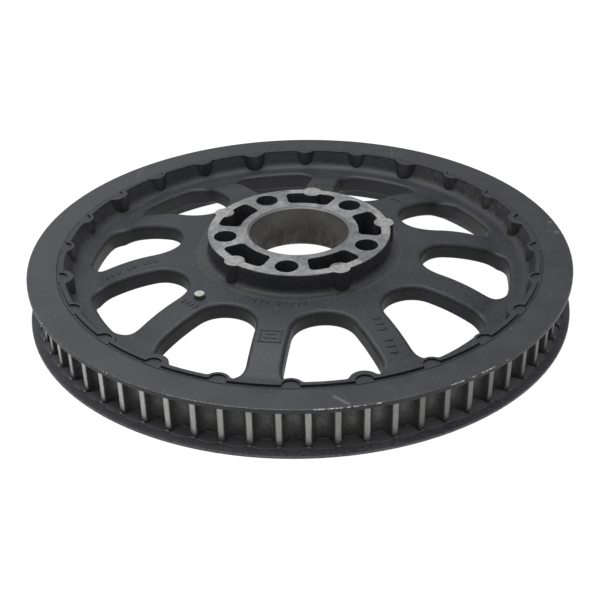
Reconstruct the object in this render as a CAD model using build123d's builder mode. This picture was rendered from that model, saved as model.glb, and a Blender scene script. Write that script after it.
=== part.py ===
from build123d import *
import os
from math import sin, cos, asin, acos, atan2, sqrt, radians, degrees, pi

os.makedirs("parts", exist_ok=True)

# Rear drive-belt pulley of a motorcycle: a die-cast aluminium wheel with a
# toothed rim, a separate flange ring on its outboard side and a steel dowel
# in one spoke.  Millimetres, +Z is the wheel axis and points outboard.
# Origin: on the axis, in the plane of the inboard (lower) flange face that
# the wheel rests on when it is laid flat.
#
# The wheel is one casting on a bench.  Here it is divided at its natural
# boundaries (hub, ten spokes, rim, toothed ring, lower flange), which meet
# face to face and never overlap.

# ------------------------------------------------------------ belt drive ---
TEETH = 66
PITCH = 14.0                                  # belt pitch
R_PITCH = TEETH * PITCH / (2 * pi)            # 147.06, pitch circle
BELT_OFFSET = 1.40                            # pitch line above the lands
R_LAND = R_PITCH - BELT_OFFSET                # 145.66, top of the teeth
GROOVE_DEPTH = 5.80
R_FLOOR = R_LAND - GROOVE_DEPTH               # groove floor
GROOVE_W_FLOOR = 9.3                          # groove width at its floor
GROOVE_W_LAND = 10.4                          # groove width at the lands
R_GROOVE_CORNER = 3.4
R_TIP = 1.3
TOOTH_PHASE = -154.43 + 5.4545454 * 12       # azimuth of one land, degrees

# ------------------------------------------------------------ heights ------
Z_FACE = 28.0                                 # outboard face of the flange ring
T_RING = 2.6                                  # flange ring thickness
Z_SEAT = Z_FACE - T_RING                      # seat of the ring = top of teeth
Z_FOOT = 2.0                                  # foot of the teeth
Z_LIP = Z_FACE + 1.15                         # cast lip that locates the ring
Z_HUB = Z_FACE + 11.5                         # machined hub face
Z_HUB_LOW = 14.5                              # inboard end of the hub
Z_WEB = Z_FACE + 0.0                          # flat of the web next to the hub
T_WEB = 9.3                                   # web thickness

# ------------------------------------------------------------ radii --------
R_BORE = 27.78                                # 2 3/16 in bore
R_HUB = 51.0
R_BOLT_CIRCLE = 41.275                        # 3 1/4 in bolt circle
R_BOLT_HOLE = 6.35
BOLTS = 5
BOLT_PHASE = 44.391
KIDNEY_PHASE = 8.089
R_HUB_NODE = 58.0                             # where the hub ends and spokes begin
R_RIM_NODE = 121.4                            # where the spokes end and the rim begins
R_TOOTH_NODE = 138.4                          # where the rim ends and the teeth begin
R_SPIGOT = 134.7                              # spigot that the flange ring sits on
R_RING_IN = 134.8
R_RING = 150.9
R_LOWER = 151.7
R_LIP_OUT = 133.2
R_LIP_IN = 130.6

# ------------------------------------------------------------ web ----------
SPOKES = 10
SPOKE_W = 18.3                                # parallel part of a spoke
R_WIN_OUT = 117.5                             # outer wall of the windows
R_WIN_IN = 68.5                               # inner end of the windows
R_WIN_CORNER = 10.0
WIN_EDGE = 2.4                                # rounded top edge of the windows
WIN_EDGE_LOW = 1.2
R_FLAT = 70.0                                 # the web is flat inside this radius
R_DOME = 104.0                                # and domed outside it
R_BLEND = 14.0
R_DOME_END = 111.0
Z_WEB_LOW_OUT = Z_FACE - 20.0                 # underside of the web at the rim

SPOKE_PHASE = KIDNEY_PHASE                    # spokes line up with the kidneys


def pol(r, a):
    return (r * cos(radians(a)), r * sin(radians(a)))


# ---- profile points of the web's top -------------------------------------
dome_c = (R_FLAT, Z_WEB - R_DOME)
a_end = asin((R_DOME_END - R_FLAT) / R_DOME)
dome_end = (R_DOME_END, dome_c[1] + R_DOME * cos(a_end))
dome_mid = (R_FLAT + R_DOME * sin(a_end / 2), dome_c[1] + R_DOME * cos(a_end / 2))
blend_c = (dome_end[0] + R_BLEND * sin(a_end), dome_end[1] + R_BLEND * cos(a_end))
blend_end = (blend_c[0], blend_c[1] - R_BLEND)
blend_mid = (blend_c[0] - R_BLEND * sin(a_end / 2), blend_c[1] - R_BLEND * cos(a_end / 2))
Z_TROUGH = blend_end[1]

# ---- profile points of the web's underside -------------------------------
R_DOME_LOW = R_DOME - T_WEB
low_end_z = Z_WEB_LOW_OUT + 0.35
a_low = acos((low_end_z - dome_c[1]) / R_DOME_LOW)
low_end = (R_FLAT + R_DOME_LOW * sin(a_low), low_end_z)
low_mid = (R_FLAT + R_DOME_LOW * sin(a_low / 2), dome_c[1] + R_DOME_LOW * cos(a_low / 2))
R_LOW_BLEND = 0.35 / (1 - cos(a_low))
low_blend_end = (low_end[0] + R_LOW_BLEND * sin(a_low), Z_WEB_LOW_OUT)
low_blend_mid = (low_end[0] + R_LOW_BLEND * (sin(a_low) - sin(a_low / 2)),
                 Z_WEB_LOW_OUT + R_LOW_BLEND * (1 - cos(a_low / 2)))

# ---- window outline, about its own centre line ---------------------------
half = 180.0 / SPOKES
w2 = SPOKE_W / 2
# inner end: one arc tangent to both spokes
s18, c18 = sin(radians(half)), cos(radians(half))
rho_in = (R_WIN_IN * s18 - w2) / (1 - s18)
cin = (R_WIN_IN + rho_in, 0.0)
tin = (cin[0] - rho_in * s18, rho_in * c18)
# outer corners
cc_r = R_WIN_OUT - R_WIN_CORNER
cc_a = half - degrees(asin((w2 + R_WIN_CORNER) / cc_r))
ccx, ccy = pol(cc_r, cc_a)
tside = (ccx - R_WIN_CORNER * s18, ccy + R_WIN_CORNER * c18)
tout = pol(R_WIN_OUT, cc_a)
mid_dir = (90 + half + cc_a) / 2
tmid = (ccx + R_WIN_CORNER * cos(radians(mid_dir)), ccy + R_WIN_CORNER * sin(radians(mid_dir)))


def mir(p):
    return (p[0], -p[1])


# ================================================================ hub ======
KID_IN, KID_OUT, KID_HALF = 33.2, 45.9, 19.4
POST_R, POST_C = 5.5, 48.2
Z_KIDNEY_FLOOR = Z_HUB_LOW + 6.0

with BuildPart() as hub:
    with BuildSketch(Plane.XZ):
        with BuildLine():
            Polyline((R_BORE + 1.4, Z_HUB_LOW), (R_HUB - 1.0, Z_HUB_LOW), (R_HUB, Z_HUB_LOW + 1.0),
                     (R_HUB, Z_WEB - T_WEB - 2.0))
            ThreePointArc((R_HUB, Z_WEB - T_WEB - 2.0),
                          (R_HUB + 2.0 * (1 - cos(pi / 4)), Z_WEB - T_WEB - 2.0 * (1 - sin(pi / 4))),
                          (R_HUB + 2.0, Z_WEB - T_WEB))
            Polyline((R_HUB + 2.0, Z_WEB - T_WEB), (R_HUB_NODE, Z_WEB - T_WEB), (R_HUB_NODE, Z_WEB),
                     (R_HUB + 3.0, Z_WEB))
            ThreePointArc((R_HUB + 3.0, Z_WEB),
                          (R_HUB + 3.0 * (1 - cos(pi / 4)), Z_WEB + 3.0 * (1 - sin(pi / 4))),
                          (R_HUB, Z_WEB + 3.0))
            Polyline((R_HUB, Z_WEB + 3.0), (R_HUB, Z_HUB - 0.3), (R_HUB - 0.3, Z_HUB),
                     (R_BORE + 1.0, Z_HUB), (R_BORE, Z_HUB - 1.0), (R_BORE, Z_HUB_LOW + 1.4),
                     (R_BORE + 1.4, Z_HUB_LOW))
        make_face()
    revolve(axis=Axis.Z)
    # ejector posts, half outside the hub wall
    with BuildSketch(Plane.XY.offset(Z_WEB - 4.0)):
        with PolarLocations(POST_C, BOLTS, start_angle=KIDNEY_PHASE):
            Circle(POST_R)
    extrude(amount=Z_HUB - (Z_WEB - 4.0))
    # kidney pockets between the bolt holes, blind, with the posts left standing
    with BuildSketch(Plane.XY.offset(Z_HUB)):
        with BuildSketch(mode=Mode.PRIVATE) as kid:
            with BuildLine():
                p1, p2 = pol(KID_IN, -KID_HALF), pol(KID_IN, KID_HALF)
                p3, p4 = pol(KID_OUT, KID_HALF), pol(KID_OUT, -KID_HALF)
                ThreePointArc(p1, (KID_IN, 0), p2)
                Line(p2, p3)
                ThreePointArc(p3, (KID_OUT, 0), p4)
                Line(p4, p1)
            make_face()
            fillet(kid.vertices(), 3.0)
            with Locations((POST_C, 0)):
                Circle(POST_R, mode=Mode.SUBTRACT)
        for k in range(BOLTS):
            add(kid.sketch.rotate(Axis.Z, KIDNEY_PHASE + 360 / BOLTS * k))
    extrude(amount=-(Z_HUB - Z_KIDNEY_FLOOR), mode=Mode.SUBTRACT)
    # bolt holes
    with Locations(Plane.XY.offset(Z_HUB)):
        with PolarLocations(R_BOLT_CIRCLE, BOLTS, start_angle=BOLT_PHASE):
            Hole(R_BOLT_HOLE, depth=Z_HUB - Z_HUB_LOW + 1)
hub.part.label = "hub"
export_step(hub.part, "parts/hub.step")

# ============================================================= spokes ======
# One spoke with the two half windows beside it, centred on the +X axis.
with BuildPart() as sector:
    with BuildSketch(Plane.XZ):
        with BuildLine():
            Line((R_HUB_NODE, Z_WEB), (R_FLAT, Z_WEB))
            ThreePointArc((R_FLAT, Z_WEB), dome_mid, dome_end)
            ThreePointArc(dome_end, blend_mid, blend_end)
            Polyline(blend_end, (R_RIM_NODE, Z_TROUGH), (R_RIM_NODE, Z_WEB_LOW_OUT), low_blend_end)
            ThreePointArc(low_blend_end, low_blend_mid, low_end)
            ThreePointArc(low_end, low_mid, (R_FLAT, Z_WEB - T_WEB))
            Polyline((R_FLAT, Z_WEB - T_WEB), (R_HUB_NODE, Z_WEB - T_WEB), (R_HUB_NODE, Z_WEB))
        make_face()
    revolve(axis=Axis.Z)
    with BuildSketch(Plane.XY) as win2:
        with BuildSketch(mode=Mode.PRIVATE) as win:
            with BuildLine():
                ThreePointArc(mir(tin), (R_WIN_IN, 0), tin)
                Line(tin, tside)
                ThreePointArc(tside, tmid, tout)
                ThreePointArc(tout, (R_WIN_OUT, 0), mir(tout))
                ThreePointArc(mir(tout), mir(tmid), mir(tside))
                Line(mir(tside), mir(tin))
            make_face()
        add(win.sketch.rotate(Axis.Z, half))
        add(win.sketch.rotate(Axis.Z, -half))
    extrude(amount=60, mode=Mode.SUBTRACT)
    with BuildSketch(Plane.XY):
        with BuildLine():
            Polyline((0, 0), pol(170, -2 * half + 1), (170, 0), pol(170, 2 * half - 1), (0, 0))
        make_face()
    extrude(amount=60, mode=Mode.INTERSECT)

    def window_rims(top):
        found = []
        for e in sector.edges():
            a, b, m = e.position_at(0), e.position_at(1), e.position_at(0.5)
            if abs(a.X - b.X) + abs(a.Y - b.Y) < 0.05:
                continue                            # upright edge
            ok = True
            for p in (a, m, b):
                r = sqrt(p.X ** 2 + p.Y ** 2)
                az = degrees(atan2(p.Y, p.X))
                if not (R_WIN_IN - 0.01 < r < R_WIN_OUT + 0.01) or abs(az) > 32:
                    ok = False
            if not ok:
                continue
            # on the wall of a window: the distance to the window outline is nil
            x, y = m.X, m.Y
            az = degrees(atan2(y, x))
            t = radians(-half if az > 0 else half)
            u, v = x * cos(t) - y * sin(t), abs(x * sin(t) + y * cos(t))
            d_in = abs(sqrt((u - cin[0]) ** 2 + v ** 2) - rho_in) if u < tin[0] + 0.01 else 9
            d_out = abs(sqrt(u * u + v * v) - R_WIN_OUT) if v < tout[1] + 0.01 else 9
            d_c = abs(sqrt((u - ccx) ** 2 + (v - ccy) ** 2) - R_WIN_CORNER) if v > tout[1] - 0.01 and u > tside[0] - 0.01 else 9
            d_s = abs((v - tin[1]) * c18 - (u - tin[0]) * s18) if tin[0] - 0.01 < u < tside[0] + 0.01 else 9
            if min(d_in, d_out, d_c, d_s) > 0.05:
                continue
            r = sqrt(x * x + y * y)
            z_mid = Z_WEB - T_WEB / 2 - max(0.0, r - R_FLAT) ** 2 / (2 * R_DOME) * 0.97
            if (m.Z > z_mid) == top:
                found.append(e)
        return found

    fillet(window_rims(True), WIN_EDGE)
    fillet(window_rims(False), WIN_EDGE_LOW)
    # the spoke itself: the 36 degree share between two window centre lines
    with BuildSketch(Plane.XY):
        with BuildLine():
            Polyline((0, 0), pol(200, -half), pol(200, half), (0, 0))
        make_face()
    extrude(amount=60, mode=Mode.INTERSECT)

# ------------------------------------------------------- locating dowel ----
PIN_R = 3.0
PIN_AT = 73.5                                 # radius of the dowel's axis
PIN_TOP = Z_WEB + 2.3
PIN_LOW = Z_WEB - 7.7
PIN_SPOKE = 7
PIN_AZ = SPOKE_PHASE + 36.0 * (PIN_SPOKE - 1)
PIN_X, PIN_Y = pol(PIN_AT, PIN_AZ)

with BuildPart() as locating_pin:
    with BuildSketch(Plane.XY.offset(PIN_LOW)):
        with Locations((PIN_X, PIN_Y)):
            Circle(PIN_R)
    extrude(amount=PIN_TOP - PIN_LOW)
    chamfer(locating_pin.edges().group_by(Axis.Z)[-1], 0.35)
    chamfer(locating_pin.edges().group_by(Axis.Z)[0], 0.5)
locating_pin.part.label = "locating_pin"
export_step(locating_pin.part, "parts/locating_pin.step")

for i in range(SPOKES):
    name = "spoke_%02d" % (i + 1)
    with BuildPart() as spoke:
        add(sector.part.rotate(Axis.Z, SPOKE_PHASE + 36.0 * i))
        if i + 1 == PIN_SPOKE:
            with BuildSketch(Plane.XY.offset(PIN_LOW)):
                with Locations((PIN_X, PIN_Y)):
                    Circle(PIN_R)
            extrude(amount=30, mode=Mode.SUBTRACT)
    spoke.part.label = name
    export_step(spoke.part, "parts/" + name + ".step")

# ================================================================ rim ======
WALL_ANGLE = 72.0
R_FOOT = 5.5
BOSSES = 24
BOSS_PHASE = 12.707
BOSS_R, BOSS_C = 6.5, 133.7                   # small bosses reach in to 127.2
BOSS_BIG_R, BOSS_BIG_C = 7.6, 133.1           # every third reaches in to 125.5
STAKE_R, STAKE_C = 4.5, 133.4
Z_STAKE = Z_FACE + 0.12
Z_GROOVE = Z_FACE - 0.15
R_BARREL_IN = 125.0                           # inside of the rim at its foot, below the web
R_BARREL_TOP = 124.2                          # the same wall where it meets the web (draft)

th = radians(WALL_ANGLE)
wall_top = (R_LIP_IN + 0.12, Z_LIP - 0.7)
x_foot = wall_top[0] - (wall_top[1] - Z_TROUGH - R_FOOT * (1 - cos(th))) / (sin(th) / cos(th)) - R_FOOT * sin(th)
foot_end = (x_foot + R_FOOT * sin(th), Z_TROUGH + R_FOOT * (1 - cos(th)))
foot_mid = (x_foot + R_FOOT * sin(th / 2), Z_TROUGH + R_FOOT * (1 - cos(th / 2)))

with BuildPart() as rim:
    with BuildSketch(Plane.XZ):
        with BuildLine():
            Line((R_RIM_NODE, Z_TROUGH), (x_foot, Z_TROUGH))
            ThreePointArc((x_foot, Z_TROUGH), foot_mid, foot_end)
            Polyline(foot_end, wall_top, (R_LIP_IN + 1.0, Z_LIP - 0.7), (R_LIP_IN + 1.0, Z_GROOVE),
                     (R_SPIGOT, Z_GROOVE), (R_SPIGOT, Z_SEAT), (R_TOOTH_NODE, Z_SEAT),
                     (R_TOOTH_NODE, 0), (R_BARREL_IN + 0.8, 0), (R_BARREL_IN, 0.8),
                     (R_BARREL_TOP, Z_WEB_LOW_OUT - 2.0))
            ThreePointArc((R_BARREL_TOP, Z_WEB_LOW_OUT - 2.0),
                          (R_BARREL_TOP - 2.0 * (1 - cos(pi / 4)), Z_WEB_LOW_OUT - 2.0 * (1 - sin(pi / 4))),
                          (R_BARREL_TOP - 2.0, Z_WEB_LOW_OUT))
            Polyline((R_BARREL_TOP - 2.0, Z_WEB_LOW_OUT), (R_RIM_NODE, Z_WEB_LOW_OUT), (R_RIM_NODE, Z_TROUGH))
        make_face()
    revolve(axis=Axis.Z)
    # the lip and its half-round bosses, as one outline
    with BuildSketch(Plane.XY.offset(Z_TROUGH - 2.0)) as lip_plan:
        Circle(R_LIP_OUT)
        Circle(R_LIP_IN, mode=Mode.SUBTRACT)
        for k in range(BOSSES):
            big = k % 3 == 0
            with Locations(pol(BOSS_BIG_C if big else BOSS_C, BOSS_PHASE + 360 / BOSSES * k)):
                Circle(BOSS_BIG_R if big else BOSS_R)
        Circle(R_LIP_OUT, mode=Mode.INTERSECT)
        corners = [v for v in lip_plan.vertices()
                   if abs(sqrt(v.X ** 2 + v.Y ** 2) - R_LIP_IN) < 0.05]
        fillet(corners, 2.4)
    extrude(amount=Z_LIP - (Z_TROUGH - 2.0))
    top_in = [e for e in rim.edges()
              if abs(e.position_at(0.5).Z - Z_LIP) < 1e-3
              and max(sqrt(p.X ** 2 + p.Y ** 2) for p in (e.position_at(0), e.position_at(0.5), e.position_at(1))) < R_LIP_OUT - 0.5]
    print("lip edges", len(top_in), "corners", len(corners))
    fillet(top_in, 0.55)
    # stakes: a round punch has driven the lip down and out against the ring
    with BuildSketch(Plane.XY.offset(Z_GROOVE - 0.5)):
        with PolarLocations(STAKE_C, BOSSES, start_angle=BOSS_PHASE):
            Circle(STAKE_R)
        Circle(R_SPIGOT, mode=Mode.INTERSECT)
    extrude(amount=Z_STAKE - (Z_GROOVE - 0.5))
    with BuildSketch(Plane.XY.offset(Z_STAKE)):
        with PolarLocations(STAKE_C, BOSSES, start_angle=BOSS_PHASE):
            Circle(STAKE_R)
    extrude(amount=5, mode=Mode.SUBTRACT)
    print("rim", rim.part.volume, rim.part.is_valid, len(rim.part.solids()))
rim.part.label = "rim"
export_step(rim.part, "parts/rim.step")

# ============================================================== teeth ======
with BuildPart() as tooth_ring:
    with BuildSketch(Plane.XY.offset(Z_FOOT)) as teeth_plan:
        Circle(R_LAND)
        with BuildSketch(mode=Mode.PRIVATE) as groove:
            with BuildLine():
                flare = (GROOVE_W_LAND - GROOVE_W_FLOOR) / 2 / GROOVE_DEPTH * (GROOVE_DEPTH + 3)
                Polyline((R_FLOOR, -GROOVE_W_FLOOR / 2), (R_LAND + 3, -GROOVE_W_FLOOR / 2 - flare),
                         (R_LAND + 3, GROOVE_W_FLOOR / 2 + flare), (R_FLOOR, GROOVE_W_FLOOR / 2),
                         (R_FLOOR, -GROOVE_W_FLOOR / 2))
            make_face()
            fillet(groove.vertices().sort_by(Axis.X)[:2], R_GROOVE_CORNER)
        for k in range(TEETH):
            add(groove.sketch.rotate(Axis.Z, TOOTH_PHASE + 360 / TEETH * (k + 0.5)), mode=Mode.SUBTRACT)
        tips = [v for v in teeth_plan.vertices() if abs(sqrt(v.X ** 2 + v.Y ** 2) - R_LAND) < 0.02]
        fillet(tips, R_TIP)
        Circle(R_TOOTH_NODE, mode=Mode.SUBTRACT)
    extrude(amount=Z_SEAT - Z_FOOT)
    print("teeth", tooth_ring.part.volume, tooth_ring.part.is_valid, len(tips))
tooth_ring.part.label = "tooth_ring"
export_step(tooth_ring.part, "parts/tooth_ring.step")

# ======================================================= lower flange ======
Z_EDGE = 1.5                                  # height of the flange at its edge
Z_CONE = 3.9                                  # and at the teeth
SCALLOP_R = 13.6                              # run-out arc of the tooth cutter
SCALLOP_C = 134.2

with BuildPart() as lower_flange:
    with BuildSketch(Plane.XZ):
        with BuildLine():
            Polyline((R_TOOTH_NODE, 0), (R_LOWER - 0.5, 0), (R_LOWER, 0.4), (R_LOWER, Z_EDGE - 0.25),
                     (R_LOWER - 0.3, Z_EDGE), (143.5, Z_CONE), (R_TOOTH_NODE, Z_CONE), (R_TOOTH_NODE, 0))
        make_face()
    revolve(axis=Axis.Z)
    with BuildSketch(Plane.XY.offset(Z_FOOT)):
        with BuildLine():
            step = 360 / TEETH
            y = SCALLOP_C * sin(radians(step / 2))
            r_cusp = SCALLOP_C * cos(radians(step / 2)) + sqrt(SCALLOP_R ** 2 - y * y)
            for k in range(TEETH):
                a = TOOTH_PHASE + step * k
                ThreePointArc(pol(r_cusp, a), pol(SCALLOP_C + SCALLOP_R, a + step / 2), pol(r_cusp, a + step))
        make_face()
    extrude(amount=5, mode=Mode.SUBTRACT)
    print("flange", lower_flange.part.volume, lower_flange.part.is_valid, len(lower_flange.part.solids()))
lower_flange.part.label = "lower_flange"
export_step(lower_flange.part, "parts/lower_flange.step")

# ================================================== upper flange ring ======
with BuildPart() as upper_flange_ring:
    with BuildSketch(Plane.XZ):
        with BuildLine():
            Polyline((R_RING_IN, Z_SEAT), (R_RING - 0.4, Z_SEAT), (R_RING, Z_SEAT + 0.4),
                     (R_RING, Z_FACE - 0.5), (R_RING - 0.15, Z_FACE - 0.15), (R_RING - 0.5, Z_FACE),
                     (R_RING_IN + 0.3, Z_FACE), (R_RING_IN, Z_FACE - 0.3), (R_RING_IN, Z_SEAT))
        make_face()
    revolve(axis=Axis.Z)
upper_flange_ring.part.label = "upper_flange_ring"
export_step(upper_flange_ring.part, "parts/upper_flange_ring.step")
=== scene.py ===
# Timing belt pulley: looks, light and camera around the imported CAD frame.
# Metres, same frame as the CAD: +Z is the wheel axis, z = 0 the face it lies on.
import bpy
import bmesh
import math
import random
from mathutils import Vector, Matrix


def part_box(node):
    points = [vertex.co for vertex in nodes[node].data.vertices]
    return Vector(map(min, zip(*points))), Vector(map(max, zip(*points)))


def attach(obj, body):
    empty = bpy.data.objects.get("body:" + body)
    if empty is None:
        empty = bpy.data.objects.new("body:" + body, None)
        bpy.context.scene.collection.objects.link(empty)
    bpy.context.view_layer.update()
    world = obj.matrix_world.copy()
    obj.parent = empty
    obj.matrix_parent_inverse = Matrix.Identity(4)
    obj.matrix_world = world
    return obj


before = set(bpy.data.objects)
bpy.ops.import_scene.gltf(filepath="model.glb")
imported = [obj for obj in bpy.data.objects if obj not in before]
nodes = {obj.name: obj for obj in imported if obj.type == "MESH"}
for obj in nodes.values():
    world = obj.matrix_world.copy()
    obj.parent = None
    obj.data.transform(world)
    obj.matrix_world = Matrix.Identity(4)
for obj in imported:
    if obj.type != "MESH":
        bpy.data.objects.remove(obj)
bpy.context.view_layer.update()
scene = bpy.context.scene
random.seed(66)

# ------------------------------------------------------------------ sizes --
Z_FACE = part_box("upper_flange_ring")[1].z * 1000.0          # 28.0 mm
Z_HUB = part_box("hub")[1].z * 1000.0                         # 39.5 mm
Z_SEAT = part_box("upper_flange_ring")[0].z * 1000.0          # 25.4 mm
R_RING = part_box("upper_flange_ring")[1].x * 1000.0          # 150.9 mm
R_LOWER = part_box("lower_flange")[1].x * 1000.0              # 151.7 mm
TEETH = 66
STEP = 360.0 / TEETH
TOOTH_PHASE = -88.975
KIDNEY_PHASE = 8.089
BOLT_PHASE = 44.391
BOSS_PHASE = 12.707

# ----------------------------------------------------------------- camera --
F_PX, ELEV, DIST = 1142.67, math.radians(28.9172), 4.27675 * 0.1505
ROLL, PAN, TILT = math.radians(1.1530), math.radians(-0.0180), math.radians(2.61876)
c_dir = Vector((0.0, -math.cos(ELEV), math.sin(ELEV)))
c_pos = c_dir * DIST + Vector((0.0, 0.0, Z_FACE / 1000.0))
right = Vector((1.0, 0.0, 0.0))
fwd = -c_dir
up = right.cross(fwd)
base = Matrix((right, up, -fwd))


def rot(axis, a):
    c, s = math.cos(a), math.sin(a)
    if axis == "X":
        return Matrix(((1, 0, 0), (0, c, -s), (0, s, c)))
    if axis == "Y":
        return Matrix(((c, 0, s), (0, 1, 0), (-s, 0, c)))
    return Matrix(((c, -s, 0), (s, c, 0), (0, 0, 1)))


world_to_cam = rot("Z", ROLL) @ rot("X", TILT) @ rot("Y", PAN) @ base
cam_data = bpy.data.cameras.new("camera")
cam_data.sensor_width = 36.0
cam_data.lens = F_PX * 36.0 / 600.0
cam_data.clip_start, cam_data.clip_end = 0.01, 60.0
cam = bpy.data.objects.new("camera", cam_data)
scene.collection.objects.link(cam)
cam.matrix_world = Matrix.Translation(c_pos) @ world_to_cam.transposed().to_4x4()
scene.camera = cam


# ---------------------------------------------------------- node building --
class Graph:
    """A material's node tree, with short ways to add nodes to it."""

    def __init__(self, name):
        self.mat = bpy.data.materials.new(name)
        self.mat.use_nodes = True
        self.t = self.mat.node_tree
        self.t.nodes.clear()
        self.out = self.new("ShaderNodeOutputMaterial")
        self.bsdf = self.new("ShaderNodeBsdfPrincipled")
        self.t.links.new(self.bsdf.outputs[0], self.out.inputs[0])
        self.P = self.new("ShaderNodeTexCoord").outputs["Object"]
        sep = self.new("ShaderNodeSeparateXYZ")
        self.t.links.new(self.P, sep.inputs[0])
        self.x = self.m("MULTIPLY", sep.outputs[0], 1000.0)
        self.y = self.m("MULTIPLY", sep.outputs[1], 1000.0)
        self.z = self.m("MULTIPLY", sep.outputs[2], 1000.0)
        xx = self.m("MULTIPLY", self.x, self.x)
        self.r = self.m("SQRT", self.m("MULTIPLY_ADD", self.y, self.y, xx))
        self._az = None
        self._n = None
        self._flat = {}

    def new(self, kind, **props):
        n = self.t.nodes.new(kind)
        for k, v in props.items():
            setattr(n, k, v)
        return n

    def put(self, socket, value):
        if isinstance(value, bpy.types.NodeSocket):
            self.t.links.new(value, socket)
        elif isinstance(value, (tuple, list)) and len(value) == 3 and socket.type == "RGBA":
            socket.default_value = (*value, 1.0)
        else:
            socket.default_value = value

    def m(self, op, a, b=None, c=None, clamp=False):
        n = self.new("ShaderNodeMath", operation=op, use_clamp=clamp)
        for s, v in zip(n.inputs, (a, b, c)):
            if v is not None:
                self.put(s, v)
        return n.outputs[0]

    def v(self, op, a, b=None, scale=None):
        n = self.new("ShaderNodeVectorMath", operation=op)
        self.put(n.inputs[0], a)
        if b is not None:
            self.put(n.inputs[1], b)
        if scale is not None:
            self.put(n.inputs["Scale"], scale)
        return n.outputs["Value"] if op in ("LENGTH", "DISTANCE", "DOT_PRODUCT") else n.outputs["Vector"]

    @property
    def az(self):
        """Azimuth in degrees, -180 to 180."""
        if self._az is None:
            self._az = self.m("MULTIPLY", self.m("ARCTAN2", self.y, self.x), 180.0 / math.pi)
        return self._az

    @property
    def nz(self):
        """Z of the true surface normal."""
        if self._n is None:
            g = self.new("ShaderNodeNewGeometry")
            s = self.new("ShaderNodeSeparateXYZ")
            self.t.links.new(g.outputs["True Normal"], s.inputs[0])
            self._n = s.outputs[2]
        return self._n

    def step(self, x, a, b, lo=0.0, hi=1.0, smooth=True):
        """lo at a and hi at b, smooth between them."""
        if a > b:
            a, b, lo, hi = b, a, hi, lo
        n = self.new("ShaderNodeMapRange", interpolation_type="SMOOTHSTEP" if smooth else "LINEAR", clamp=True)
        self.put(n.inputs[0], x)
        for s, v in zip(n.inputs[1:5], (a, b, lo, hi)):
            self.put(s, v)
        return n.outputs[0]

    def band(self, x, a, b, soft):
        """1 between a and b, falling to 0 over soft outside them."""
        return self.m("MULTIPLY", self.step(x, a - soft, a), self.step(x, b + soft, b))

    def noise(self, scale, detail=2.0, rough=0.5, vector=None, distort=0.0, w=None):
        """Noise of about `scale` features to the millimetre."""
        n = self.new("ShaderNodeTexNoise", noise_dimensions="3D")
        vec = vector if vector is not None else self.P
        if w is not None:
            vec = self.v("ADD", vec, (w, w * 0.7, -w))
        self.put(n.inputs["Vector"], vec)
        n.inputs["Scale"].default_value = scale * 1000.0
        n.inputs["Detail"].default_value = detail
        n.inputs["Roughness"].default_value = rough
        n.inputs["Distortion"].default_value = distort
        return n.outputs[0]

    def stretched(self, sx, sy, sz):
        return self.v("MULTIPLY", self.P, (sx, sy, sz))

    def polar(self, sr, sa, sz):
        """Coordinates that follow the wheel: radius, arc length and height, each scaled (metres)."""
        n = self.new("ShaderNodeCombineXYZ")
        self.put(n.inputs[0], self.m("MULTIPLY", self.r, 0.001 * sr))
        self.put(n.inputs[1], self.m("MULTIPLY", self.az, 0.001 * sa * math.pi / 180.0 * 100.0))
        self.put(n.inputs[2], self.m("MULTIPLY", self.z, 0.001 * sz))
        return n.outputs[0]

    def mix(self, fac, a, b):
        n = self.new("ShaderNodeMix", data_type="RGBA")
        self.put(n.inputs[0], fac)
        self.put(n.inputs[6], a)
        self.put(n.inputs[7], b)
        return n.outputs[2]

    def fmix(self, fac, a, b):
        n = self.new("ShaderNodeMix", data_type="FLOAT")
        self.put(n.inputs[0], fac)
        self.put(n.inputs[2], a)
        self.put(n.inputs[3], b)
        return n.outputs[0]

    def tint(self, col, fac):
        """col times a number."""
        n = self.new("ShaderNodeVectorMath", operation="SCALE")
        self.put(n.inputs[0], col)
        self.put(n.inputs["Scale"], fac)
        return n.outputs[0]

    def bump(self, height, distance, strength=1.0, normal=None):
        n = self.new("ShaderNodeBump")
        n.inputs["Strength"].default_value = strength
        n.inputs["Distance"].default_value = distance
        self.put(n.inputs["Height"], height)
        if normal is not None:
            self.put(n.inputs["Normal"], normal)
        return n.outputs[0]

    def spot(self, x, y, size, soft=0.5, warp=None):
        """1 inside a blob of that radius (mm) about x, y, with a soft edge."""
        p = self.new("ShaderNodeCombineXYZ")
        self.put(p.inputs[0], self.x)
        self.put(p.inputs[1], self.y)
        d = self.v("DISTANCE", p.outputs[0], (x, y, 0.0))
        if warp is not None:
            d = self.m("ADD", d, warp)
        return self.step(d, size + soft, size - soft)

    def stroke(self, ax, ay, bx, by, width, soft=0.3, warp=None):
        """1 along the line from a to b (mm), half as wide as width."""
        if "xy" not in self._flat:
            p = self.new("ShaderNodeCombineXYZ")
            self.put(p.inputs[0], self.x)
            self.put(p.inputs[1], self.y)
            self._flat["xy"] = p.outputs[0]
        xy = self._flat["xy"]
        dx, dy = bx - ax, by - ay
        l2 = dx * dx + dy * dy
        rel = self.v("SUBTRACT", xy, (ax, ay, 0.0))
        t = self.m("MULTIPLY", self.v("DOT_PRODUCT", rel, (dx / l2, dy / l2, 0.0)), 1.0, clamp=True)
        on = self.v("SCALE", (dx, dy, 0.0), scale=t)
        d = self.v("DISTANCE", rel, on)
        if warp is not None:
            d = self.m("ADD", d, warp)
        return self.step(d, width / 2 + soft, max(0.0, width / 2 - soft))

    def most(self, *values):
        out = values[0]
        for v in values[1:]:
            out = self.m("MAXIMUM", out, v)
        return out

    def times(self, *values):
        out = values[0]
        for v in values[1:]:
            out = self.m("MULTIPLY", out, v)
        return out

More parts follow.
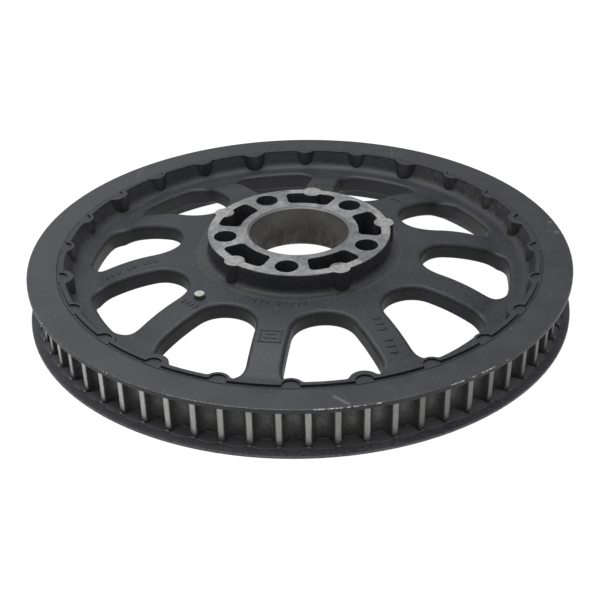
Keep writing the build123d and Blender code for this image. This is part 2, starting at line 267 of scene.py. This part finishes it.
    def finish(self, color, rough, metal=None, normal=None, **fixed):
        self.put(self.bsdf.inputs["Base Color"], color)
        self.put(self.bsdf.inputs["Roughness"], rough)
        if metal is not None:
            self.put(self.bsdf.inputs["Metallic"], metal)
        if normal is not None:
            self.put(self.bsdf.inputs["Normal"], normal)
        for k, v in fixed.items():
            self.bsdf.inputs[k].default_value = v
        return self.mat


# ------------------------------------------------------------ black coating --
def coat(g, dark=(0.0158, 0.0163, 0.0196), light=(0.0213, 0.0219, 0.0259)):
    """Colour, roughness and height of the satin black coating on the casting."""
    cloud = g.noise(0.035, 4.0, 0.6)
    fine = g.noise(0.75, 3.0, 0.65)
    grain = g.noise(2.0, 1.0, 0.5)
    col = g.mix(g.step(cloud, 0.32, 0.68), dark, light)
    col = g.tint(col, g.step(fine, 0.30, 0.70, 0.66, 1.36))
    col = g.tint(col, g.step(grain, 0.30, 0.70, 0.84, 1.18))
    rough = g.m("MULTIPLY_ADD", g.step(cloud, 0.3, 0.7), 0.06, 0.47)
    rough = g.m("MULTIPLY_ADD", g.step(fine, 0.3, 0.7), 0.08, rough)
    height = g.m("MULTIPLY_ADD", grain, 0.35, g.m("MULTIPLY", fine, 1.0))
    return col, rough, height


def around(g, centre, lo, hi):
    """1 near that azimuth, 0 far from it; lo and hi are cosines of the angle away."""
    return g.step(g.m("COSINE", g.m("MULTIPLY", g.m("SUBTRACT", g.az, centre), math.pi / 180.0)), lo, hi)


def dusted(g, col, amount):
    """Brownish road dust: a thin film in the trough, and spots up the inner wall of the rim."""
    trough = g.m("MULTIPLY", g.step(g.r, 112.0, 122.0), g.step(g.r, 132.0, 126.0))
    patch = g.step(g.noise(0.06, 3.0, 0.6, w=3.1), 0.40, 0.62)
    film = g.times(trough, around(g, 35.0, 0.1, 0.95), patch, amount)
    col = g.mix(film, col, (0.060, 0.053, 0.046))
    wall = g.m("MULTIPLY", g.step(g.r, 120.0, 127.0), g.step(g.nz, 0.93, 0.70))
    side = g.most(around(g, 28.0, 0.86, 0.98), g.m("MULTIPLY", around(g, 165.0, 0.86, 0.98), 0.55))
    spots = g.step(g.noise(0.22, 4.0, 0.65, w=15.0), 0.42, 0.70)
    return g.mix(g.times(wall, side, spots, 0.45), col, (0.070, 0.059, 0.049))


def make_cast():
    g = Graph("cast_black")
    col, rough, height = coat(g)
    col = dusted(g, col, 0.06)
    # painted shade: the window walls are drawn darker than the web's top
    wall = g.m("MULTIPLY", g.step(g.nz, 0.65, 0.20), g.step(g.r, 124.0, 119.0))
    col = g.tint(col, g.m("MULTIPLY_ADD", wall, -0.40, 1.0))
    # pale specks and rubbed spots scattered over the top of the web
    speck = g.m("MULTIPLY", g.step(g.noise(0.55, 1.0, 0.5, w=7.7), 0.735, 0.775), g.step(g.nz, 0.5, 0.8))
    col = g.mix(g.m("MULTIPLY", speck, 0.30), col, (0.16, 0.16, 0.165))
    n = g.bump(height, 0.00016, 0.8)
    return g.finish(col, rough, 0.0, n, **{"IOR": 1.45, "Specular IOR Level": 0.35})


def make_ring():
    g = Graph("ring_black")
    cloud = g.noise(0.05, 5.0, 0.65)
    fine = g.noise(1.3, 3.0, 0.6)
    col = g.mix(g.step(cloud, 0.35, 0.66), (0.0215, 0.0220, 0.0250), (0.0280, 0.0285, 0.0320))
    col = g.tint(col, g.step(fine, 0.28, 0.72, 0.82, 1.18))
    rough = g.m("MULTIPLY_ADD", g.step(cloud, 0.3, 0.7), 0.07, 0.42)
    # handling marks: short hair scratches both ways round
    hair_a = g.noise(0.30, 2.0, 0.5, vector=g.stretched(1.0, 0.06, 1.0), w=1.3)
    hair_b = g.noise(0.30, 2.0, 0.5, vector=g.stretched(0.06, 1.0, 1.0), w=4.3)
    hair = g.most(g.step(hair_a, 0.70, 0.74), g.step(hair_b, 0.71, 0.75))
    top = g.step(g.nz, 0.6, 0.9)
    col = g.mix(g.times(hair, top, 0.10), col, (0.14, 0.14, 0.145))
    # pale specks
    speck = g.step(g.noise(0.60, 1.0, 0.5, w=9.1), 0.735, 0.77)
    col = g.mix(g.times(speck, top, 0.35), col, (0.16, 0.16, 0.165))
    warp = g.m("MULTIPLY_ADD", g.noise(0.8, 3.0, 0.6, w=2.0), 2.4, -1.2)
    # rubbed patches and one long scratch
    rub = g.most(
        g.m("MULTIPLY", g.spot(145.8, 24.9, 1.1, 0.8, warp), 0.8),
        g.m("MULTIPLY", g.spot(147.4, 12.5, 1.5, 1.0, warp), 0.8),
        g.m("MULTIPLY", g.spot(143.1, 13.9, 0.9, 0.8, warp), 0.6),
        g.m("MULTIPLY", g.stroke(14.8, -141.2, 20.9, -147.1, 1.5, 0.7, warp), 0.9),
    )
    col = g.mix(g.times(rub, top, 0.26), col, (0.24, 0.24, 0.245))
    # chipped outer edge: bare metal where the coating has broken away
    edge = g.m("MULTIPLY", g.step(g.r, R_RING - 0.46, R_RING - 0.30), g.step(g.z, Z_FACE - 0.62, Z_FACE - 0.36))
    jag = g.noise(1.0, 4.0, 0.70, w=5.0)
    chips = []
    for a0, a1, amount in (
        (-88.1, -86.1, 1.0), (-85.8, -82.9, 1.0), (-82.5, -81.6, 0.9), (-81.2, -80.2, 0.9), (-79.4, -78.8, 0.9),
        (-77.2, -76.1, 1.0), (-62.9, -59.8, 0.9), (-58.4, -57.2, 0.9), (-55.9, -52.4, 1.0), (-49.7, -48.9, 0.8),
        (-144.0, -139.5, 0.45), (-129.2, -122.4, 0.5), (-151.4, -150.5, 0.9), (-179.2, -178.6, 0.7),
        (-95.0, -92.6, 0.25), (-27.0, -25.2, 0.5), (-38.0, -33.0, 0.35), (-70.5, -68.9, 0.35), (-117.0, -112.5, 0.3),
    ):
        chips.append(g.m("MULTIPLY", g.band(g.az, a0 + 0.15, a1 - 0.15, 0.25), amount))
    chip = g.m("MULTIPLY", g.most(*chips), edge)
    chip = g.step(g.m("MULTIPLY", chip, g.m("MULTIPLY_ADD", jag, 3.0, -0.55)), 0.55, 0.95)
    # the rest of the arris is only polished
    worn = g.m("MULTIPLY", g.band(g.r, R_RING - 0.55, R_RING + 0.5, 0.15), g.step(g.z, Z_FACE - 0.5, Z_FACE - 0.2))
    dots = g.m("MULTIPLY", around(g, -140.0, 0.70, 0.86), g.step(jag, 0.53, 0.60))
    worn = g.m("MULTIPLY", worn, g.m("MAXIMUM", g.m("MULTIPLY", g.step(jag, 0.42, 0.66), 0.30), g.m("MULTIPLY", dots, 0.75)))
    col = g.mix(worn, col, (0.20, 0.20, 0.205))
    col = g.mix(chip, col, (0.40, 0.40, 0.395))
    metal = g.m("MULTIPLY", chip, 0.4)
    n = g.bump(g.m("SUBTRACT", g.m("MULTIPLY", fine, 0.6), g.m("MULTIPLY", chip, 1.5)), 0.00009, 0.55)
    return g.finish(col, rough, metal, n, **{"IOR": 1.45, "Specular IOR Level": 0.35})


def make_hub():
    g = Graph("hub_metal")
    # painted light: the hub's black surfaces use a lighter copy of the web's coat colours
    col, rough, height = coat(g, (0.0230, 0.0235, 0.0262), (0.0310, 0.0315, 0.0345))
    face = g.m("MULTIPLY", g.step(g.nz, 0.80, 0.95), g.step(g.z, Z_HUB - 0.5, Z_HUB - 0.1))
    # the face ring: turned, then handled; cloudy grey with soft swirls
    cloud = g.noise(0.11, 5.0, 0.65, w=0.4)
    swirl = g.noise(0.9, 3.0, 0.6, vector=g.polar(1.0, 0.12, 1.0))
    turn = g.noise(2.2, 2.0, 0.5, vector=g.polar(1.0, 0.03, 1.0), w=0.2)
    alu = g.mix(g.step(cloud, 0.33, 0.67), (0.185, 0.188, 0.195), (0.285, 0.286, 0.290))
    alu = g.tint(alu, g.step(swirl, 0.25, 0.75, 0.80, 1.18))
    alu = g.tint(alu, g.step(turn, 0.25, 0.75, 0.86, 1.14))
    # painted glint: the turned face is drawn lighter and darker twice round its circle, as its reflection would be
    painted_glint = g.m("COSINE", g.m("MULTIPLY", g.m("SUBTRACT", g.az, 50.0), math.pi / 90.0))
    painted_glint = g.m("MULTIPLY_ADD", g.m("SINE", g.m("MULTIPLY", g.az, math.pi / 180.0)), 0.35, painted_glint)
    alu = g.tint(alu, g.m("MULTIPLY_ADD", painted_glint, 0.14, 1.0))
    fleck = g.noise(1.7, 2.0, 0.6, w=3.9)
    alu = g.tint(alu, g.step(fleck, 0.30, 0.70, 0.80, 1.18))
    pits = g.step(g.noise(1.3, 2.0, 0.5, w=6.0), 0.70, 0.74)
    alu = g.mix(g.m("MULTIPLY", pits, 0.55), alu, (0.13, 0.125, 0.12))
    # paler, rougher skin on the posts and along the outer side of each pocket
    k = g.m("MULTIPLY", g.m("SUBTRACT", g.az, KIDNEY_PHASE), 5.0 * math.pi / 180.0)
    near = g.m("COSINE", k)
    edge_noise = g.m("MULTIPLY_ADD", g.noise(0.35, 3.0, 0.6, w=8.0), 3.0, -1.5)
    arc = g.times(g.step(near, 0.02, 0.38), g.step(g.m("ADD", g.r, edge_noise), 44.2, 46.0))
    pale = g.mix(g.step(g.noise(0.5, 4.0, 0.7, w=1.1), 0.36, 0.62), (0.160, 0.158, 0.152), (0.262, 0.259, 0.250))
    pale = g.mix(g.m("MULTIPLY", g.step(g.noise(1.1, 2.0, 0.5, w=2.2), 0.68, 0.72), 0.6), pale, (0.11, 0.105, 0.10))
    alu = g.mix(arc, alu, pale)
    # bore: grease and fretting stain on bare metal, drawn darker towards the bottom of the bore
    bore = g.m("MULTIPLY", g.step(g.r, 29.6, 29.2), g.step(g.z, Z_HUB - 0.05, Z_HUB - 0.25))
    stain = g.step(g.noise(0.10, 5.0, 0.7, vector=g.stretched(1.0, 1.0, 0.8), w=12.0), 0.36, 0.64)
    low = g.step(g.z, 22.0, 38.0)
    bmix = g.mix(stain, (0.040, 0.034, 0.028), (0.068, 0.064, 0.060))
    bcol = g.mix(g.m("MULTIPLY", low, 0.72), bmix, (0.118, 0.117, 0.116))
    streak = g.noise(0.6, 3.0, 0.6, vector=g.polar(1.0, 1.0, 0.15), w=3.0)
    bcol = g.tint(bcol, g.step(streak, 0.3, 0.7, 0.92, 1.06))
    lip = g.band(g.z, Z_HUB - 1.1, Z_HUB - 0.05, 0.1)
    bcol = g.mix(g.m("MULTIPLY", lip, 0.60), bcol, (0.19, 0.19, 0.192))
    color = g.mix(face, col, alu)
    color = g.mix(bore, color, bcol)
    metal = g.most(g.fmix(arc, g.m("MULTIPLY", face, 0.85), g.m("MULTIPLY", face, 0.35)), g.m("MULTIPLY", bore, 0.55))
    r2 = g.fmix(face, rough, g.m("MULTIPLY_ADD", arc, 0.15, g.step(swirl, 0.2, 0.8, 0.38, 0.50)))
    r2 = g.fmix(bore, r2, g.step(stain, 0.0, 1.0, 0.58, 0.46))
    h2 = g.m("MULTIPLY_ADD", turn, 0.3, g.m("MULTIPLY", swirl, 0.5))
    h2 = g.m("SUBTRACT", h2, g.m("MULTIPLY", pits, 0.5))
    n = g.bump(g.fmix(face, height, h2), 0.00008, 0.55)
    return g.finish(color, r2, metal, n, **{"IOR": 1.45, "Specular IOR Level": 0.35})


def make_teeth():
    g = Graph("tooth_ring_finish_and_painted_light")
    # a lighter copy of the coat: partly the grooves' own grey, partly painted light lifting the shade between the
    # flanges
    col, rough, height = coat(g, (0.046, 0.046, 0.048), (0.060, 0.060, 0.062))
    # 0 on a land, 1 in the middle of a groove
    phase = g.m("MULTIPLY", g.m("SUBTRACT", g.az, TOOTH_PHASE), 1.0 / STEP)
    across = g.m("MULTIPLY", g.m("PINGPONG", phase, 0.5), 2.0)
    tooth = g.m("FLOOR", g.m("ADD", phase, 0.5))
    each = g.new("ShaderNodeTexWhiteNoise", noise_dimensions="1D")
    g.put(each.inputs["W"], tooth)
    each_v = each.outputs["Value"]
    # lands: belt-polished bare aluminium, fading out above the flange
    fray = g.m("MULTIPLY_ADD", g.noise(0.9, 4.0, 0.65), 1.1, -0.55)
    land = g.step(g.m("MULTIPLY_ADD", fray, 0.45, g.r), 145.00, 145.40)
    fade = g.step(g.m("ADD", g.z, g.m("MULTIPLY_ADD", fray, 3.0, g.m("MULTIPLY", each_v, 1.2))), 3.6, 7.4)
    land = g.m("MULTIPLY", land, fade)
    brush = g.noise(1.6, 3.0, 0.6, vector=g.polar(1.0, 1.0, 0.10), w=0.7)
    spots = g.step(g.noise(1.0, 2.0, 0.5, w=5.1), 0.68, 0.74)
    bare = g.mix(g.step(brush, 0.3, 0.7), (0.24, 0.237, 0.230), (0.36, 0.357, 0.347))
    bare = g.tint(bare, g.step(each_v, 0.0, 1.0, 0.84, 1.12))
    # painted light: the lands are drawn lighter towards -x and darker towards +x
    bare = g.tint(bare, g.step(g.x, -90.0, 95.0, 1.35, 0.58))
    bare = g.mix(g.m("MULTIPLY", spots, 0.6), bare, (0.13, 0.125, 0.12))
    # grooves: brownish rubbed streak up the middle; beside it the lighter coat, partly dusty grey and partly painted
    # light
    mid = g.step(g.m("ADD", across, g.m("MULTIPLY", fray, 0.30)), 0.42, 0.85)
    high = g.m("MULTIPLY", g.step(g.z, 6.5, 13.0), g.step(g.z, 26.0, 22.0))
    patch = g.step(g.noise(0.35, 4.0, 0.7, vector=g.polar(1.0, 1.0, 0.45), w=2.9), 0.30, 0.66)
    film = g.times(mid, high, patch, g.step(each_v, 0.0, 1.0, 0.55, 1.0))
    # painted shade: the groove streak is drawn darker towards +x
    floor_col = g.mix(film, col, g.tint((0.165, 0.155, 0.140), g.step(g.x, 40.0, 110.0, 1.0, 0.72)))
    # painted highlight: a thin bright line where the groove floor meets the flange, standing in for the glint on the
    # fillet there
    painted_foot_highlight = g.times(g.band(g.z, 2.0, 2.75, 0.2), g.step(across, 0.35, 0.75), g.step(g.noise(0.14, 2.0, 0.5, w=6.6), 0.36, 0.54))
    floor_col = g.mix(g.m("MULTIPLY", painted_foot_highlight, 0.75), floor_col, (0.24, 0.24, 0.24))
    color = g.mix(land, floor_col, bare)
    metal = g.m("MULTIPLY", land, 0.75)
    rr = g.fmix(land, rough, g.step(brush, 0.2, 0.8, 0.36, 0.52))
    n = g.bump(g.fmix(land, height, g.m("MULTIPLY", brush, 0.5)), 0.00009, 0.55)
    return g.finish(color, rr, metal, n, **{"IOR": 1.45, "Specular IOR Level": 0.35})


def make_lower():
    g = Graph("lower_flange_finish_and_painted_light")
    col, rough, height = coat(g, (0.036, 0.0365, 0.0410), (0.049, 0.0495, 0.0545))
    phase = g.m("MULTIPLY", g.m("SUBTRACT", g.az, TOOTH_PHASE), 1.0 / STEP)
    across = g.m("MULTIPLY", g.m("PINGPONG", phase, 0.5), 2.0)
    jag = g.noise(0.6, 3.0, 0.6, w=2.5)
    # painted light: the flange is drawn lighter towards +x
    col = g.tint(col, g.step(g.x, -110.0, 110.0, 0.98, 1.62))
    # painted light: paler floors in the cutter's run-outs, lifting the shade under the upper flange, paler still
    # towards +x
    painted_light_floors = g.times(g.step(g.z, 2.35, 2.10), g.step(g.r, 148.4, 147.6), g.step(g.nz, 0.5, 0.8))
    col = g.mix(painted_light_floors, col, g.tint((0.150, 0.149, 0.158), g.step(g.x, 0.0, 110.0, 1.0, 1.55)))
    # cusp of the cutter's run-out at each land foot
    cusp = g.times(g.step(across, 0.17, 0.08), g.band(g.r, 145.5, 147.0, 0.3), g.step(g.z, 2.05, 2.25))
    # painted highlights: a pale line along the outer edge of each run-out arc, and one along the flange's outer rim
    turn = g.m("MULTIPLY", g.m("SUBTRACT", g.m("FRACT", phase), 0.5), STEP * math.pi / 180.0)
    reach = g.m("MULTIPLY", g.m("MULTIPLY", g.r, g.m("COSINE", turn)), -2.0 * 134.2)
    reach = g.m("SQRT", g.m("ADD", g.m("MULTIPLY_ADD", g.r, g.r, 134.2 ** 2), reach))
    arc = g.times(g.band(reach, 13.45, 13.75, 0.15), g.step(jag, 0.30, 0.50), g.step(g.z, 1.6, 1.9))
    line = g.times(g.band(g.r, R_LOWER - 0.4, R_LOWER, 0.15), g.step(g.z, 0.9, 1.25), g.step(jag, 0.30, 0.55))
    col = g.mix(g.m("MULTIPLY", arc, 0.60), col, (0.24, 0.24, 0.245))
    col = g.mix(g.m("MULTIPLY", line, 0.35), col, (0.26, 0.26, 0.265))
    col = g.mix(g.m("MULTIPLY", cusp, 0.55), col, (0.40, 0.40, 0.40))
    n = g.bump(height, 0.00009, 0.5)
    return g.finish(col, rough, g.m("MULTIPLY", cusp, 0.5), n, **{"IOR": 1.45, "Specular IOR Level": 0.35})


def make_pin():
    g = Graph("pin_steel")
    swirl = g.noise(1.4, 3.0, 0.6)
    stain = g.step(g.noise(0.5, 3.0, 0.6, w=3.0), 0.45, 0.65)
    top = g.step(g.nz, 0.7, 0.95)
    col = g.mix(g.step(swirl, 0.3, 0.7), (0.36, 0.36, 0.35), (0.55, 0.55, 0.54))
    col = g.mix(g.m("MULTIPLY", stain, 0.35), col, (0.20, 0.18, 0.15))
    # painted shade: the pin's side is drawn much darker than its bright top
    side = g.mix(g.step(swirl, 0.3, 0.7), (0.10, 0.10, 0.10), (0.18, 0.18, 0.18))
    col = g.mix(top, side, col)
    n = g.bump(swirl, 0.00006, 0.5)
    return g.finish(col, g.step(swirl, 0.2, 0.8, 0.32, 0.48), 0.8, n)


def assign(obj, mat):
    obj.data.materials.clear()
    obj.data.materials.append(mat)
    for p in obj.data.polygons:
        p.material_index = 0


cast = make_cast()
by_node = {
    "upper_flange_ring": make_ring(),
    "hub": make_hub(),
    "tooth_ring": make_teeth(),
    "lower_flange": make_lower(),
    "locating_pin": make_pin(),
}
for name, obj in nodes.items():
    assign(obj, by_node.get(name, cast))

# ------------------------------------------------------------- cast marks --
# Plain raised bars where a casting carries its foundry marks.
R_FLAT, R_DOME, R_BLEND, R_DOME_END, Z_WEB = 70.0, 104.0, 14.0, 111.0, 28.0
_a = math.asin((R_DOME_END - R_FLAT) / R_DOME)
_dz = Z_WEB - R_DOME + R_DOME * math.cos(_a)
_bc = (R_DOME_END + R_BLEND * math.sin(_a), _dz + R_BLEND * math.cos(_a))


def web_z(r):
    """Height of the web's top at radius r, mm."""
    if r <= R_FLAT:
        return Z_WEB
    if r <= R_DOME_END:
        return Z_WEB - R_DOME + math.sqrt(R_DOME ** 2 - (r - R_FLAT) ** 2)
    if r <= _bc[0]:
        return _bc[1] - math.sqrt(R_BLEND ** 2 - (r - _bc[0]) ** 2)
    return _bc[1] - R_BLEND


def outline(length, width, n=8):
    """A bar with round ends, as points about its centre."""
    pts, h, w = [], max(0.0, length / 2 - width / 2), width / 2
    for end, start in ((1, -90), (-1, 90)):
        for i in range(n + 1):
            a = math.radians(start + 180.0 * i / n)
            pts.append((end * h + w * math.cos(a), w * math.sin(a)))
    return pts


def marks(name, bars, relief=0.45):
    """bars: (x, y, turn in degrees, length, width), mm, on the top of the web."""
    bm = bmesh.new()
    for x, y, turn, length, width in bars:
        c, s = math.cos(math.radians(turn)), math.sin(math.radians(turn))
        rings = []
        for grow, lift in ((0.22, -0.20), (0.16, 0.04), (0.0, relief * 0.72), (-0.16, relief * 0.96), (-0.36, relief)):
            ring = []
            for u, v in outline(length + 2 * grow, width + 2 * grow):
                px, py = x + u * c - v * s, y + u * s + v * c
                ring.append(bm.verts.new((px / 1000, py / 1000, (web_z(math.hypot(px, py)) + lift) / 1000)))
            rings.append(ring)
        for a, b in zip(rings, rings[1:]):
            for i in range(len(a)):
                j = (i + 1) % len(a)
                bm.faces.new((a[i], a[j], b[j], b[i]))
        bm.faces.new(rings[-1])
        bm.faces.new(list(reversed(rings[0])))
    bmesh.ops.recalc_face_normals(bm, faces=bm.faces)
    me = bpy.data.meshes.new(name)
    bm.to_mesh(me)
    bm.free()
    for p in me.polygons:
        p.use_smooth = True
    ob = bpy.data.objects.new(name, me)
    scene.collection.objects.link(ob)
    assign(ob, cast)
    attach(ob, "root")
    return ob


def at(r, az):
    return r * math.cos(math.radians(az)), r * math.sin(math.radians(az))


def row(r0, az0, r1, az1, n, length, width, turn=None, skip=()):
    """n bars evenly along the line between two polar points, each turned across that line."""
    (x0, y0), (x1, y1) = at(r0, az0), at(r1, az1)
    line = math.degrees(math.atan2(y1 - y0, x1 - x0))
    out = []
    for i in range(n):
        if i in skip:
            continue
        t = i / (n - 1) if n > 1 else 0.5
        out.append((x0 + (x1 - x0) * t, y0 + (y1 - y0) * t, line + 90 if turn is None else turn, length, width))
    return out




def frame_mark(r, az, wide, high, width, bars):
    """A plain frame, wide along the arc and high along the radius, with short bars inside."""
    c, s = math.cos(math.radians(az)), math.sin(math.radians(az))

    def place(u, v, turn, length):
        return (v * c - u * s, v * s + u * c, az + turn, length, width)

    out = [place(0, r + k * (high - width) / 2, 90, wide) for k in (-1, 1)]
    out += [place(k * (wide - width) / 2, r, 0, high) for k in (-1, 1)]
    out += [place(0, r + dr, 90, length) for dr, length in bars]
    return out


marks("cast_marks_front", frame_mark(88.5, 260.09, 11.6, 8.8, 0.9, ((1.4, 6.6), (-1.4, 5.0))))
marks("cast_marks_right", row(83.5, 297.6, 91.5, 296.6, 3, 4.6, 1.7) + row(99.0, 296.1, 106.5, 295.4, 3, 4.6, 1.7))
marks("cast_marks_left", row(80.5, 187.2, 107.5, 189.2, 10, 3.9, 1.7, skip=(3, 6)))
marks("cast_marks_pin", row(81.2, 221.4, 80.8, 227.6, 4, 3.2, 1.4))
marks("cast_marks_far_1", row(83.8, 77.4, 83.2, 82.2, 3, 3.6, 1.5))
marks("cast_marks_far_2", row(83.6, 41.4, 83.8, 46.4, 3, 3.6, 1.5))
marks("cast_marks_arc", [(*at(60.2, a), a, 3.0, 0.9) for a in (247.0, 250.2, 253.4, 259.6, 262.8, 266.0, 269.2, 272.4)])

# --------------------------------------------------------- floor and light --
floor_me = bpy.data.meshes.new("floor")
bm = bmesh.new()
S = 12.0
bm.faces.new([bm.verts.new(p) for p in ((-S, -S, -0.0002), (S, -S, -0.0002), (S, S, -0.0002), (-S, S, -0.0002))])
bm.to_mesh(floor_me)
bm.free()
floor = bpy.data.objects.new("floor", floor_me)
scene.collection.objects.link(floor)
fg = Graph("floor_paper")
fcol = fg.mix(fg.noise(0.004, 2.0, 0.5), (0.05, 0.05, 0.05), (0.06, 0.06, 0.06))
fg.finish(fcol, 0.9, 0.0, None, **{"Emission Color": (1, 1, 1, 1), "Emission Strength": 1.0, "Specular IOR Level": 0.0})
assign(floor, fg.mat)

world = bpy.data.worlds.new("studio")
scene.world = world
world.use_nodes = True
bg = world.node_tree.nodes["Background"]
bg.inputs[0].default_value = (1.0, 1.0, 1.0, 1.0)
bg.inputs[1].default_value = 0.42


def soft_box(name, place, target, size, power, color=(1.0, 1.0, 1.0)):
    d = bpy.data.lights.new(name, "AREA")
    d.shape = "RECTANGLE"
    d.size, d.size_y = size
    d.energy = power
    d.color = color
    o = bpy.data.objects.new(name, d)
    scene.collection.objects.link(o)
    o.location = place
    o.rotation_euler = (Vector(target) - Vector(place)).to_track_quat("-Z", "Y").to_euler()
    return o


soft_box("key", (-0.12, 0.05, 0.86), (-0.02, 0, 0), (0.7, 0.7), 11.0, (0.985, 0.99, 1.0))
soft_box("back_card", (-0.9, 1.3, 0.9), (0, 0, 0), (1.6, 0.9), 3.0, (0.98, 0.99, 1.0))

scene.view_settings.view_transform = "Standard"
scene.view_settings.look = "None"
